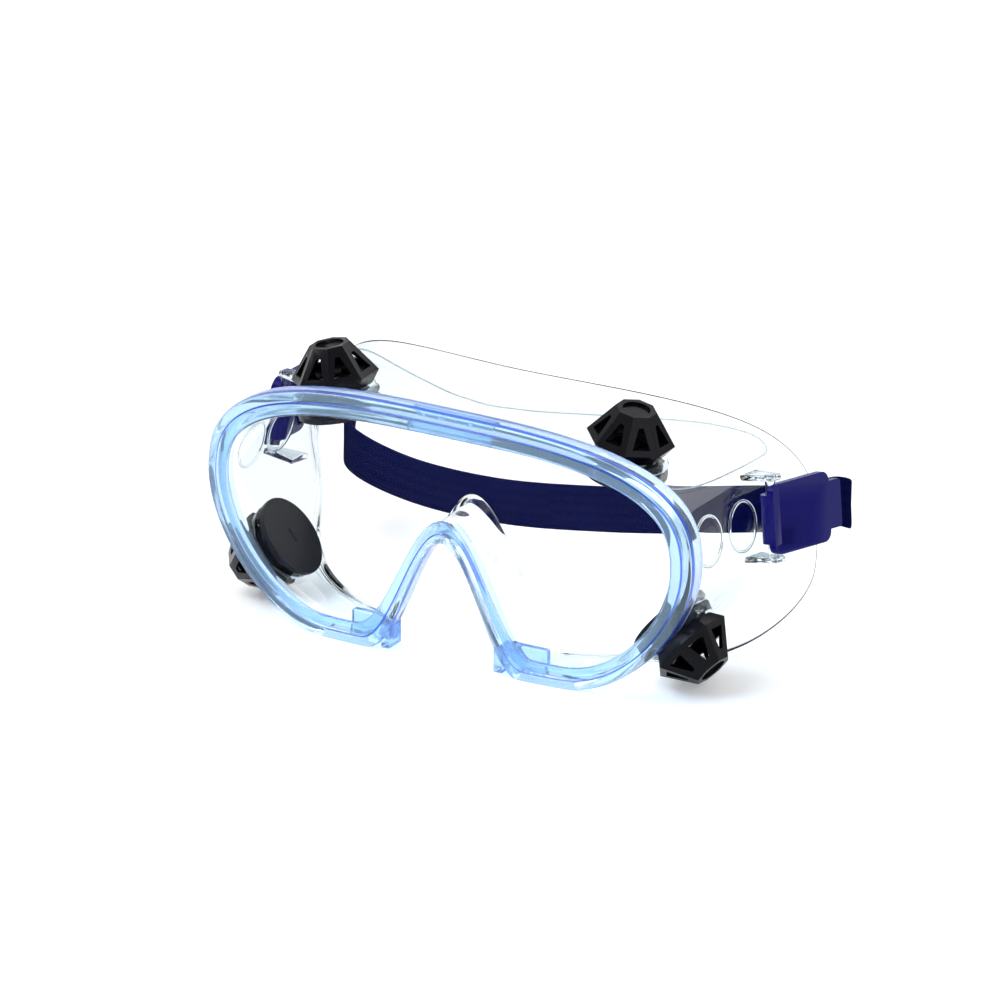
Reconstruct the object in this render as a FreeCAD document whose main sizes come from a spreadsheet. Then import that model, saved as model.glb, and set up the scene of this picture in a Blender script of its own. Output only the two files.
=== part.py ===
"""Chemical-splash safety goggles: a soft clear frame moulding, a snap-in lens,
four indirect vents and an elastic headband hung from two side clips.

Frame of reference: +X to the wearer's left, +Y towards the face, +Z up.
The origin lies on the table under the middle of the goggles' box.
"""
import FreeCAD
import Part
import math
import os

from FreeCAD import Placement, Rotation, Vector

SIZES = {
    # front rim, seen from the front
    "rim_half_width": 82.3,
    "rim_eye_level": 43.0,
    "rim_top": 79.0,
    "rim_brow_power": 2.85,
    "rim_cheek_power": 1.68,
    "lobe_middle": 42.0,
    "nose_top": 38.0,
    "nose_half_width": 25.5,
    "nose_spread": 0.66,
    "foot_trim": 0.4,
    "front_radius": 800.0,
    # cross-section of the rim
    "rim_depth": 8.4,
    "rim_lip": 7.0,
    "rim_round": 1.4,
    "groove_front": 2.6,
    "groove_floor": 3.2,
    # walls behind the rim
    "wall": 1.6,
    "wall_side_inset": 4.3,
    "wall_top_inset": 8.2,
    "wall_bottom_inset": 2.4,
    "wall_nose_inset": 4.3,
    "crease_flare": 0.25,
    "crease_depth": 0.72,
    # face seal
    "seal_flare": 2.1,
    "seal_eye_level": 37.0,
    "seal_drop": 1.0,
    "seal_brow_power": 2.35,
    "seal_cheek_power": 4.0,
    "seal_lobe_middle": 46.0,
    "seal_nose_top": 46.0,
    "seal_nose_half_width": 31.0,
    "seal_wall": 1.3,
    "seal_depth": 46.0,
    "face_radius": 92.0,
    "temple_depth": 78.0,
    "temple_power": 14.0,
    "cheek_relief": 28.0,
    "cheek_level": 20.0,
    # lens
    "lens_thickness": 2.0,
    "lens_gap": 0.3,
    "lens_nose_gap": 1.0,
    # vent seats in the walls
    "upper_vent_inboard": 32.9,
    "upper_vent_y": 25.0,
    "upper_vent_rise": 1.43,
    "upper_vent_lean": 11.0,
    "upper_vent_tilt": 0.0,
    "lower_vent_inboard": 12.9,
    "lower_vent_y": 22.5,
    "lower_vent_rise": -4.79,
    "lower_vent_lean": 128.0,
    "lower_vent_tilt": 5.0,
    "pad_thickness": 3.2,
    "pad_width": 3.8,
    "pad_taper": 1.0,
    "vent_hole": 7.6,
    "vent_gap": 0.2,
    # vent cap
    "skirt_width": 2.2,
    "cap_width": 4.7,
    "vent_crown": 5.7,
    "vent_rim_level": 4.2,
    "vent_height": 13.8,
    "vent_shell": 1.5,
    "crown_rim": 1.6,
    "crown_recess": 0.8,
    "window_sill": 1.6,
    "window_head": 2.6,
    "window_foot": 5.4,
    "window_peak": 1.4,
    "cap_seat": 1.0,
    # vent grommet
    "grommet_wall": 1.5,
    "grommet_inner": 4.6,
    "grommet_outer": 1.4,
    "flange_width": 1.7,
    "lip_width": 0.4,
    "spider_bar": 1.4,
    "spider_depth": 1.6,
    "spider_hub": 2.4,
    "spider_root": 0.4,
    # vent shield
    "shield_width": 5.0,
    "shield_thickness": 1.6,
    "shield_gap": 1.2,
    "shield_stem": 1.2,
    "stem_gap": 0.08,
    "slot_length": 4.2,
    "slot_width": 0.8,
    "slot_depth": 0.6,
    # strap lugs
    "lug_outboard": 1.7,
    "lug_y": 49.5,
    "lug_z": 46.0,
    "lug_lean": 9.0,
    "lug_droop": 9.0,
    "lug_bar": 1.6,
    "lug_bar_gap": 0.08,
    "lug_span": 22.6,
    "lug_arm": 1.8,
    "lug_root": 8.8,
    "lug_nose": 2.2,
    "lug_front": 3.0,
    "lug_rear": 7.0,
    # strap clips
    "clip_height": 21.0,
    "clip_length": 34.0,
    "clip_thickness": 2.4,
    "clip_barrel": 3.1,
    "clip_corner": 3.0,
    "clip_flat": 0.3,
    "clip_yaw": 6.0,
    "clip_slot": 4.0,
    "clip_end_bar": 4.0,
    # marks and small mouldings on the frame
    "ring_radius": 7.2,
    "ring_wire": 0.6,
    "ring_height": 1.2,
    "ring_inboard_1": 4.7,
    "ring_y_1": 22.4,
    "ring_z_1": 47.0,
    "ring_inboard_2": 4.0,
    "ring_y_2": 41.0,
    "ring_z_2": 45.3,
    "pocket_front": 14.5,
    "pocket_back": 10.0,
    "pocket_length": 9.0,
    "pocket_height": 3.6,
    "pocket_sink": 1.0,
    "peg_x": 5.2,
    "peg_y": 3.2,
    "peg_radius": 0.9,
    "peg_height": 1.2,
    "keeper_x": 17.6,
    "keeper_z": 1.0,
    "keeper_width": 3.0,
    "keeper_height": 7.6,
    "keeper_margin": 0.6,
    # headband
    "band_width": 14.5,
    "band_thickness": 1.3,
    "band_gap": 0.3,
    "band_lap": 15.0,
    "band_reach": 4.5,
    "band_turn": 2.2,
    "band_crest_inset": 1.2,
    "band_crest_depth": 5.0,
    "band_crest_drop": 1.4,
    "band_fall_inset": 6.4,
    "band_fall_depth": 0.5,
    "band_fall_drop": 2.6,
    "band_back": 66.0,
    "band_knee_inset": 12.4,
    "band_knee_depth": 4.0,
    "band_stations": 72.0,
    "band_untwist": 16.0,
    # the goggles' origin behind the rim's front, and how far the table reaches
    "origin_depth": 45.3,
    "table_reach": 120.0,
}

SHEET = "sizes"
LEFT, RIGHT = "left", "right"
UPPER, LOWER = "upper", "lower"

# sizes that follow the hole for a vent
BORE = "(sizes.vent_hole - sizes.vent_gap - sizes.grommet_wall)"
FLANGE = "(sizes.vent_hole + sizes.flange_width)"
LIP = "(sizes.vent_hole + sizes.lip_width)"
SKIRT = "(sizes.vent_hole + sizes.skirt_width)"
CAP = "(sizes.vent_hole + sizes.cap_width)"

BROW_ANGLES = (90, 62, 44, 31, 22, 14, 7)
CHEEK_ANGLES = (0, -14, -28, -42, -56, -72, -90)
NOSE_STEPS = (1.0, 0.84, 0.68, 0.5, 0.32, 0.15, 0.0)

# slack span of the headband: share of the way to the knee, and height
BAND_SPAN = ((1.0, 39.5), (0.69, 35.5), (0.22, 29.6), (-0.25, 25.4), (-0.69, 25.8), (-1.0, 31.0))


def make_sheet(doc):
    """Spreadsheet that holds every driving dimension under its own alias."""
    sheet = doc.addObject("Spreadsheet::Sheet", SHEET)
    for row, (alias, value) in enumerate(SIZES.items(), start=1):
        sheet.set(f"A{row}", alias)
        sheet.set(f"B{row}", str(value))
        sheet.setAlias(f"B{row}", alias)
    doc.recompute()
    return sheet


def bind(item, **properties):
    """Tie an object's properties to the sheet's cells."""
    for name, rule in properties.items():
        item.setExpression(name, rule)
    return item


# ---------------------------------------------------------------- outlines

def front_outline(s, side=0.0, top=None, bottom=None, nose=None):
    """Outline of the front rim, moved inwards by the given amounts."""
    top = side if top is None else top
    bottom = side if bottom is None else bottom
    nose = side if nose is None else nose
    return {
        "half": s.rim_half_width - side,
        "eye": s.rim_eye_level,
        "top": s.rim_top - top,
        "bottom": bottom - s.foot_trim,
        "brow": s.rim_brow_power,
        "cheek": s.rim_cheek_power,
        "lobe": s.lobe_middle,
        "nose_top": s.nose_top + nose,
        "nose_half": s.nose_half_width + s.nose_spread * nose,
    }


def seal_outline(s, inset=0.0):
    """Outline of the face seal's rear edge, moved inwards by inset."""
    return {
        "half": s.rim_half_width + s.seal_flare - inset,
        "eye": s.seal_eye_level,
        "top": s.rim_top - s.seal_drop - inset,
        "bottom": inset - s.foot_trim,
        "brow": s.seal_brow_power,
        "cheek": s.seal_cheek_power,
        "lobe": s.seal_lobe_middle,
        "nose_top": s.seal_nose_top + inset,
        "nose_half": s.seal_nose_half_width + s.nose_spread * inset,
    }


def power_radius(angle, across, up, power):
    """Radius of a superellipse in one direction from its centre."""
    cosine = abs(math.cos(angle)) / across
    sine = abs(math.sin(angle)) / up
    return (cosine ** power + sine ** power) ** (-1.0 / power)


def half_outline(o):
    """Points (x, z) of the wearer's-left half: brow, temple, cheek, nose arch."""
    points = []
    for degrees in BROW_ANGLES:
        angle = math.radians(degrees)
        radius = power_radius(angle, o["half"], o["top"] - o["eye"], o["brow"])
        points.append((radius * math.cos(angle), o["eye"] + radius * math.sin(angle)))
    for degrees in CHEEK_ANGLES:
        angle = math.radians(degrees)
        radius = power_radius(angle, o["half"] - o["lobe"], o["eye"] - o["bottom"], o["cheek"])
        points.append((o["lobe"] + radius * math.cos(angle), o["eye"] + radius * math.sin(angle)))
    points.append((0.5 * (o["lobe"] + o["nose_half"]), o["bottom"]))
    for step in NOSE_STEPS:
        rise = 0.5 * (1.0 + math.cos(math.pi * step))
        height = o["bottom"] + (o["nose_top"] - o["bottom"]) * rise
        points.append((o["nose_half"] * step, height))
    return points


def front_set_back(s, x):
    """How far the gently curved front lies behind its middle at x."""
    return s.front_radius - math.sqrt(s.front_radius ** 2 - x * x)


def face_depth(s, x, z):
    """Depth of the face seal: forehead curve, temple limit and cheek relief."""
    head = s.seal_depth + x * x / (2.0 * s.face_radius)
    soft = s.temple_power
    depth = (head ** -soft + s.temple_depth ** -soft) ** (-1.0 / soft)
    low = max(0.0, (s.cheek_level - z) / s.cheek_level)
    return depth - s.cheek_relief * min(1.0, low) ** 2


def rail_points(outline, depth_rule):
    """Right half of a rail in space; the nose arch keeps the depth of its foot."""
    half = half_outline(outline)
    nose_start = len(half) - len(NOSE_STEPS)
    points = []
    for index, (x, z) in enumerate(half):
        level = outline["bottom"] if index > nose_start else z
        points.append(Vector(x, depth_rule(x, level), z))
    return points


def whole_loop(half):
    """A half rail and its mirror image, in one loop."""
    return half + [Vector(-p.x, p.y, p.z) for p in reversed(half[1:-1])]


def travel(points):
    """Distance gone at each point, so that every rail shares one measure."""
    distances = [0.0]
    for here, there in zip(points, points[1:]):
        distances.append(distances[-1] + here.distanceToPoint(there))
    return distances


def stretches(curve, stops):
    """Edges of a curve between one stop and the next."""
    return [curve.toShape(start, end) for start, end in zip(stops, stops[1:])]


def rail_edges(half, measure):
    """Closed spline through a half rail and its mirror image, as a chain of edges."""
    curve = Part.BSplineCurve()
    curve.interpolate(Points=whole_loop(half), PeriodicFlag=True, Parameters=measure)
    return stretches(curve, measure)


def ruled_between(edges, following):
    """Faces ruled between two chains of edges with the same stops."""
    faces = []
    for edge, opposite in zip(edges, following):
        faces += Part.makeRuledSurface(edge, opposite).Faces
    return faces


def closed_solid(faces):
    """Solid enclosed by faces that meet edge to edge."""
    shell = Part.makeShell(faces)
    shell.sewShape()
    solid = Part.makeSolid(shell)
    if solid.Volume < 0:
        solid.reverse()
    return solid


def rim_measure(s):
    """Measure of the front outline, used by every rail round the goggles."""
    loop = whole_loop([Vector(x, 0, z) for x, z in half_outline(front_outline(s))])
    return travel(loop + loop[:1])


def flat_rail(s, outline, depth):
    """Rail that follows the front's gentle curve at a depth behind it."""
    return rail_points(outline, lambda x, z: front_set_back(s, x) + depth)


def seal_rail(s, inset):
    """Rail of the face seal's rear edge, on the wearer's face."""
    return rail_points(seal_outline(s, inset), lambda x, z: face_depth(s, x, z))


def wall_outline(s, inward):
    """Outline of the side wall where it leaves the rim."""
    return front_outline(s, s.wall_side_inset + inward, s.wall_top_inset + inward,
                         s.wall_bottom_inset + inward, s.wall_nose_inset + inward)


def crease_rail(s, inward, seal_inset):
    """Rail where the wall turns out into the face seal."""
    wall = flat_rail(s, wall_outline(s, inward), s.rim_depth)
    seal = seal_rail(s, seal_inset)
    points = []
    for front, back in zip(wall, seal):
        point = front + (back - front) * s.crease_flare
        point.y = front.y + (back.y - front.y) * s.crease_depth
        points.append(point)
    return points


def ring_solid(rails, measure):
    """Closed ring between rails taken in order round its cross-section."""
    chains = [rail_edges(rail, measure) for rail in rails]
    faces = []
    for chain, following in zip(chains, chains[1:] + chains[:1]):
        faces += ruled_between(chain, following)
    return closed_solid(faces)


def frame_shell(s):
    """Rim with its lens groove, thin walls and face seal, in one moulding."""
    groove_back = s.groove_front + s.lens_thickness + 2.0 * s.lens_gap
    lip = front_outline(s, s.rim_lip)
    floor = front_outline(s, s.groove_floor)
    soft = front_outline(s, s.rim_round)
    full = front_outline(s)
    rails = [
        flat_rail(s, soft, 0.0),
        flat_rail(s, full, s.rim_round),
        flat_rail(s, full, s.rim_depth),
        flat_rail(s, wall_outline(s, 0.0), s.rim_depth),
        crease_rail(s, 0.0, 0.0),
        seal_rail(s, 0.0),
        seal_rail(s, s.seal_wall),
        crease_rail(s, s.wall, s.wall),
        flat_rail(s, wall_outline(s, s.wall), groove_back),
        flat_rail(s, floor, groove_back),
        flat_rail(s, floor, s.groove_front),
        flat_rail(s, lip, s.groove_front),
        flat_rail(s, lip, 0.0),
    ]
    return ring_solid(rails, rim_measure(s))


# ---------------------------------------------------------------- helpers

def primitive(doc, kind, name, place=None, **sizes):
    """Part primitive with its sizes bound to the sheet."""
    item = doc.addObject(kind, name)
    bind(item, **sizes)
    if place is not None:
        item.Placement = place
    return item


def join(doc, name, pieces):
    """Fusion of several features."""
    item = doc.addObject("Part::MultiFuse", name)
    item.Shapes = pieces
    item.Refine = False
    return item


def cut(doc, name, base, tool):
    """One feature less another."""
    item = doc.addObject("Part::Cut", name)
    item.Base = base
    item.Tool = tool
    item.Refine = False
    return item


def shift(x=0.0, y=0.0, z=0.0):
    """Placement that only moves."""
    return Placement(Vector(x, y, z), Rotation())


def finish(item, label, place=None):
    """Give a finished sub-part its label and its place in the goggles' frame."""
    item.Label = label
    if place is not None:
        item.Placement = place
    return item


def mirror(doc, source, label):
    """The same sub-part on the wearer's right, mirrored in the middle plane."""
    item = doc.addObject("Part::Mirroring", label)
    item.Source = source
    item.Base = Vector(0, 0, 0)
    item.Normal = Vector(1, 0, 0)
    item.Label = label
    return item


def frame_place(s, place=None):
    """A placement measured from the rim's front, carried to the goggles' origin."""
    origin = shift(y=-s.origin_depth)
    return origin if place is None else origin * place


# ---------------------------------------------------------------- places

def wall_level(s, level, x):
    """Height of the side wall's outline at x, over the brow or under the cheek."""
    o = wall_outline(s, 0.0)
    if level == UPPER:
        share = (x / o["half"]) ** o["brow"]
        return o["eye"] + (o["top"] - o["eye"]) * (1.0 - share) ** (1.0 / o["brow"])
    share = ((x - o["lobe"]) / (o["half"] - o["lobe"])) ** o["cheek"]
    return o["eye"] - (o["eye"] - o["bottom"]) * (1.0 - share) ** (1.0 / o["cheek"])


def vent_place(s, level):
    """Seat of a wearer's-left vent: on its pad, with +Z along the vent."""
    def size(name):
        return getattr(s, f"{level}_vent_{name}")
    x = s.rim_half_width - size("inboard")
    lean = Rotation(Vector(0, 1, 0), size("lean"))
    tilt = Rotation(Vector(1, 0, 0), size("tilt"))
    return Placement(Vector(x, size("y"), wall_level(s, level, x) + size("rise")), lean * tilt)


def lug_place(s):
    """Lug bar of the wearer's-left side: +X outwards, +Y rearwards, +Z along the bar."""
    turn = Rotation(Vector(0, 1, 0), -s.lug_lean) * Rotation(Vector(1, 0, 0), -s.lug_droop)
    return Placement(Vector(s.rim_half_width + s.lug_outboard, s.lug_y, s.lug_z), turn)


def clip_place(s):
    """Rest pose of the clip on its bar, turned a little out from the wall."""
    return lug_place(s) * Placement(Vector(), Rotation(Vector(0, 0, 1), -s.clip_yaw))


# ---------------------------------------------------------------- frame body

def both_sides(doc, item):
    """A feature and its mirror image."""
    return [item, mirror(doc, item, item.Name + "_mirror")]


def make_vent_pads(doc, s):
    """Flat round bosses in the wall that carry the vents."""
    pads = []
    for level in (UPPER, LOWER):
        pad = primitive(doc, "Part::Cone", f"pad_{level}",
                        vent_place(s, level) * shift(z=-s.pad_thickness),
                        Radius1="sizes.vent_hole + sizes.pad_width + sizes.pad_taper",
                        Radius2="sizes.vent_hole + sizes.pad_width",
                        Height="sizes.pad_thickness")
        pads += both_sides(doc, pad)
    return pads


def make_vent_holes(doc, s):
    """A hole through each pad, spot-faced inside for the grommet's flange."""
    holes = []
    for level in (UPPER, LOWER):
        hole = primitive(doc, "Part::Cylinder", f"hole_{level}",
                         vent_place(s, level) * shift(z=-3.0 * s.pad_thickness),
                         Radius="sizes.vent_hole", Height="6 * sizes.pad_thickness")
        face = primitive(doc, "Part::Cylinder", f"spot_face_{level}",
                         vent_place(s, level) * shift(z=-3.0 * s.pad_thickness),
                         Radius=f"{FLANGE} / cos(22.5) + sizes.vent_gap",
                         Height="2 * sizes.pad_thickness")
        holes += both_sides(doc, hole) + both_sides(doc, face)
    return holes


def make_lugs(doc, s):
    """Moulded strap lug on each side: two tapered arms and the bar between."""
    place = lug_place(s)
    pieces = []
    for sign, name in ((1, "top"), (-1, "bottom")):
        middle = sign * 0.5 * (s.lug_span + s.lug_arm)
        turn = Placement(Vector(0, 0, middle - 0.5 * s.lug_arm), Rotation(Vector(0, 0, 1), -90))
        arm = primitive(doc, "Part::Wedge", f"lug_arm_{name}", place * turn,
                        Xmin="-sizes.lug_rear", Xmax="sizes.lug_front",
                        X2min="-sizes.lug_front", X2max="sizes.lug_bar",
                        Ymin="-sizes.lug_root", Ymax="sizes.lug_nose",
                        Zmin="0", Zmax="sizes.lug_arm", Z2min="0", Z2max="sizes.lug_arm")
        pieces += both_sides(doc, arm)
    bar = primitive(doc, "Part::Cylinder", "lug_bar",
                    place * shift(z=-0.5 * s.lug_span - 0.5 * s.lug_arm),
                    Radius="sizes.lug_bar", Height="sizes.lug_span + sizes.lug_arm")
    return pieces + both_sides(doc, bar)


def make_ring_marks(doc, s):
    """Two raised ejector rings on each side wall."""
    rings = []
    for number in (1, 2):
        inboard, y, z = (getattr(s, f"ring_{word}_{number}") for word in ("inboard", "y", "z"))
        centre = Vector(s.rim_half_width - inboard, y, z)
        place = Placement(centre, Rotation(Vector(0, 1, 0), 90 - s.lug_lean))
        outer = primitive(doc, "Part::Cylinder", f"ring_{number}_outer", place,
                          Radius="sizes.ring_radius + sizes.ring_wire", Height="sizes.ring_height")
        inner = primitive(doc, "Part::Cylinder", f"ring_{number}_inner", place,
                          Radius="sizes.ring_radius", Height="sizes.ring_height")
        ring = cut(doc, f"ring_{number}", outer, inner)
        rings += both_sides(doc, ring)
    return rings


def make_top_pocket(doc, s):
    """Trapezoid pad behind the rim's top with its two small pegs."""
    level = s.rim_top - s.wall_top_inset - s.wall
    pad = primitive(doc, "Part::Wedge", "pocket_pad", shift(y=s.rim_depth - s.pocket_sink, z=level),
                    Xmin="-sizes.pocket_front", Xmax="sizes.pocket_front",
                    X2min="-sizes.pocket_back", X2max="sizes.pocket_back",
                    Ymin="0", Ymax="sizes.pocket_length",
                    Zmin="0", Zmax="sizes.pocket_height", Z2min="0", Z2max="sizes.pocket_height")
    peg = primitive(doc, "Part::Cylinder", "pocket_peg",
                    shift(s.peg_x, s.rim_depth + s.peg_y, level + 0.5 * s.pocket_height),
                    Radius="sizes.peg_radius", Height="0.5 * sizes.pocket_height + sizes.peg_height")
    return [pad] + both_sides(doc, peg)


def make_lens_keepers(doc, s):
    """Square-cornered keeper tabs under the lens, either side of the nose."""
    keeper = primitive(doc, "Part::Box", "lens_keeper",
                       shift(s.keeper_x, s.keeper_margin, s.keeper_z),
                       Length="sizes.keeper_width", Height="sizes.keeper_height",
                       Width="sizes.rim_depth - 2 * sizes.keeper_margin")
    return both_sides(doc, keeper)


def make_frame_body(doc, s):
    """The soft moulding, trimmed flat where it stands on the table."""
    shell = doc.addObject("Part::Feature", "moulding")
    shell.Shape = frame_shell(s)
    solid = join(doc, "frame_joined", [shell] + make_vent_pads(doc, s) + make_lugs(doc, s)
                 + make_top_pocket(doc, s) + make_lens_keepers(doc, s) + make_ring_marks(doc, s))
    table = primitive(doc, "Part::Box", "table",
                      shift(-s.table_reach, -s.table_reach, -s.table_reach),
                      Length="2 * sizes.table_reach", Width="2 * sizes.table_reach",
                      Height="sizes.table_reach")
    tools = join(doc, "frame_openings", make_vent_holes(doc, s) + [table])
    return [finish(cut(doc, "frame_body", solid, tools), "frame_body", frame_place(s))]


# ---------------------------------------------------------------- lens

def lens_outline(s):
    """Closed wire of arcs through every three points of the groove's outline."""
    inset = s.groove_floor + s.lens_gap
    outline = front_outline(s, inset, nose=inset + s.lens_nose_gap)
    half = [Vector(x, 0, z) for x, z in half_outline(outline)]
    loop = whole_loop(half) + half[:1]
    arcs = [Part.Arc(*loop[first:first + 3]).toShape() for first in range(0, len(loop) - 2, 2)]
    return Part.Wire(arcs)


def make_lens(doc, s):
    """Plate of the groove's outline between two concentric curved faces."""
    outline = doc.addObject("Part::Feature", "lens_outline")
    outline.Shape = lens_outline(s)
    prism = doc.addObject("Part::Extrusion", "lens_prism")
    prism.Base = outline
    prism.Dir = Vector(0, 1, 0)
    prism.Solid = True
    bind(prism, LengthFwd="3 * sizes.rim_depth")
    centre = shift(y=s.front_radius, z=-s.groove_floor)
    front = "sizes.front_radius - sizes.groove_front - sizes.lens_gap"
    outer = primitive(doc, "Part::Cylinder", "lens_front", centre, Radius=front,
                      Height="sizes.rim_top + 2 * sizes.groove_floor")
    inner = primitive(doc, "Part::Cylinder", "lens_back", centre,
                      Radius=front + " - sizes.lens_thickness",
                      Height="sizes.rim_top + 2 * sizes.groove_floor")
    lens = doc.addObject("Part::MultiCommon", "lens")
    lens.Shapes = [prism, cut(doc, "lens_slab", outer, inner)]
    return [finish(lens, "lens", frame_place(s))]


# ---------------------------------------------------------------- vents

def eight_sided(doc, name, level, height, low, high):
    """Eight-sided frustum, half low wide over its flats at the foot and half high on top."""
    squares = []
    for angle in (0, 45):
        turn = Rotation(Vector(0, 0, 1), angle) * Rotation(Vector(1, 0, 0), 90)
        square = primitive(doc, "Part::Wedge", f"{name}_square_{angle}", Placement(Vector(), turn),
                           Xmin=f"-({low})", Xmax=low, Zmin=f"-({low})", Zmax=low,
                           X2min=f"-({high})", X2max=high, Z2min=f"-({high})", Z2max=high,
                           Ymin="0", Ymax=height)
        square.setExpression("Placement.Base.z", level)
        squares.append(square)
    solid = doc.addObject("Part::MultiCommon", name)
    solid.Shapes = squares
    return solid


def vent_grommet(doc, s, name):
    """Tube through the wall with a flange each side and a two-bar spider."""
    neck = primitive(doc, "Part::Cylinder", name + "_neck", shift(z=-s.grommet_inner),
                     Radius="sizes.vent_hole - sizes.vent_gap",
                     Height="sizes.grommet_inner + sizes.grommet_outer")
    inside = eight_sided(doc, name + "_inside", "-sizes.grommet_inner",
                         "sizes.grommet_inner - sizes.pad_thickness - sizes.vent_gap",
                         FLANGE, FLANGE)
    outside = eight_sided(doc, name + "_outside", "sizes.vent_gap",
                          "sizes.grommet_outer - sizes.vent_gap",
                          LIP, LIP)
    bore = eight_sided(doc, name + "_bore", "-2 * sizes.grommet_inner",
                       "4 * sizes.grommet_inner", BORE, BORE)
    tube = cut(doc, name + "_tube", join(doc, name + "_body", [neck, inside, outside]), bore)
    reach = s.vent_hole - s.vent_gap - s.grommet_wall + s.spider_root
    bars = []
    for number, angle in enumerate((0, 90)):
        turn = Placement(Vector(), Rotation(Vector(0, 0, 1), angle))
        bar = primitive(doc, "Part::Box", f"{name}_bar_{number}",
                        turn * shift(-reach, -0.5 * s.spider_bar, -s.spider_depth),
                        Length=f"2 * ({BORE} + sizes.spider_root)",
                        Width="sizes.spider_bar", Height="sizes.spider_depth")
        bars.append(bar)
    hub = primitive(doc, "Part::Cylinder", name + "_hub", shift(z=-s.spider_depth),
                    Radius="sizes.spider_hub", Height="sizes.spider_depth")
    hole = primitive(doc, "Part::Cylinder", name + "_hub_hole", shift(z=-2 * s.spider_depth),
                     Radius="sizes.shield_stem + sizes.stem_gap", Height="4 * sizes.spider_depth")
    return cut(doc, name, join(doc, name + "_joined", [tube, hub] + bars), hole)


def vent_windows(doc, s, name):
    """Triangular air window in each flat of the crown, with ribs left between."""
    sill = Vector(s.vent_crown - s.vent_shell, 0, s.vent_rim_level + s.window_sill)
    stand = Placement(sill, Rotation(Vector(1, 0, 0), 90))
    windows = []
    for angle in range(0, 360, 45):
        turn = Placement(Vector(), Rotation(Vector(0, 0, 1), angle))
        window = primitive(doc, "Part::Wedge", f"{name}_window_{angle}", turn * stand,
                           Xmin="0", Xmax=CAP, X2min="0", X2max=CAP,
                           Ymin="0", Ymax="sizes.vent_height - sizes.window_head"
                                          " - sizes.vent_rim_level - sizes.window_sill",
                           Zmin="-0.5 * sizes.window_foot", Zmax="0.5 * sizes.window_foot",
                           Z2min="-0.5 * sizes.window_peak", Z2max="0.5 * sizes.window_peak")
        windows.append(window)
    return windows


def vent_cap(doc, s, name):
    """Flat-sided cap: skirt, widest rim, windowed crown and recessed top."""
    skirt = eight_sided(doc, name + "_skirt", "sizes.vent_gap", "sizes.vent_rim_level - sizes.vent_gap",
                        SKIRT, CAP)
    crown = eight_sided(doc, name + "_crown", "sizes.vent_rim_level",
                        "sizes.vent_height - sizes.vent_rim_level",
                        CAP, "sizes.vent_crown")
    low_room = eight_sided(doc, name + "_low_room", "0", "sizes.vent_rim_level",
                           f"{SKIRT} - sizes.vent_shell", f"{CAP} - sizes.vent_shell")
    high_room = eight_sided(doc, name + "_high_room", "sizes.vent_rim_level",
                            "sizes.vent_height - sizes.vent_rim_level - sizes.vent_shell"
                            " - sizes.crown_recess",
                            f"{CAP} - sizes.vent_shell", "sizes.vent_crown")
    recess = eight_sided(doc, name + "_recess", "sizes.vent_height - sizes.crown_recess",
                         "2 * sizes.crown_recess", "sizes.vent_crown - sizes.crown_rim",
                         "sizes.vent_crown - sizes.crown_rim")
    tools = join(doc, name + "_tools", [low_room, high_room, recess] + vent_windows(doc, s, name))
    open_cap = cut(doc, name + "_open", join(doc, name + "_outer", [skirt, crown]), tools)
    seat = eight_sided(doc, name + "_seat", "sizes.grommet_outer + sizes.vent_gap", "sizes.cap_seat",
                       SKIRT, SKIRT)
    mouth = eight_sided(doc, name + "_mouth", "0", "sizes.vent_height",
                        f"{BORE} + sizes.spider_root", f"{BORE} + sizes.spider_root")
    return join(doc, name, [open_cap, cut(doc, name + "_seat_ring", seat, mouth)])


def vent_shield(doc, s, name):
    """Smooth splash shield inside the goggles, on a stem pressed into the spider."""
    top = -(s.grommet_inner + s.shield_gap)
    disc = primitive(doc, "Part::Cylinder", name + "_disc", shift(z=top - s.shield_thickness),
                     Radius="sizes.vent_hole + sizes.shield_width",
                     Height="sizes.shield_thickness")
    stem = primitive(doc, "Part::Cylinder", name + "_stem", shift(z=top - s.slot_depth),
                     Radius="sizes.shield_stem",
                     Height="sizes.grommet_inner + sizes.shield_gap + sizes.slot_depth")
    slot = primitive(doc, "Part::Box", name + "_slot",
                     shift(-0.5 * s.slot_length, -0.5 * s.slot_width, top - s.shield_thickness),
                     Length="sizes.slot_length", Width="sizes.slot_width", Height="sizes.slot_depth")
    return cut(doc, name, join(doc, name + "_solid", [disc, stem]), slot)


def make_vents(doc, s):
    """Cap, grommet and shield at each of the four vent seats."""
    finished = []
    for level in (UPPER, LOWER):
        place = frame_place(s, vent_place(s, level))
        for kind, maker in (("cap", vent_cap), ("grommet", vent_grommet), ("shield", vent_shield)):
            name = f"vent_{kind}_{level}"
            item = finish(maker(doc, s, name + "_made"), f"{name}_{LEFT}", place)
            finished += [item, mirror(doc, item, f"{name}_{RIGHT}")]
    return finished


# ---------------------------------------------------------------- clips and headband

def clip_outline(doc, s, name):
    """Block with the clip's outline seen from the side, its four corners rounded."""
    block = primitive(doc, "Part::Box", name + "_block",
                      shift(-s.clip_length, s.clip_flat - s.clip_barrel, -0.5 * s.clip_height),
                      Length="2 * sizes.clip_length", Height="sizes.clip_height",
                      Width="sizes.clip_length - sizes.clip_flat")
    doc.recompute()
    across = [number for number, edge in enumerate(block.Shape.Edges, start=1)
              if abs(edge.tangentAt(edge.FirstParameter).x) > 0.5]
    rounded = doc.addObject("Part::Fillet", name + "_outline")
    rounded.Base = block
    rounded.Edges = [(number, s.clip_corner, s.clip_corner) for number in across]
    return rounded


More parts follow.
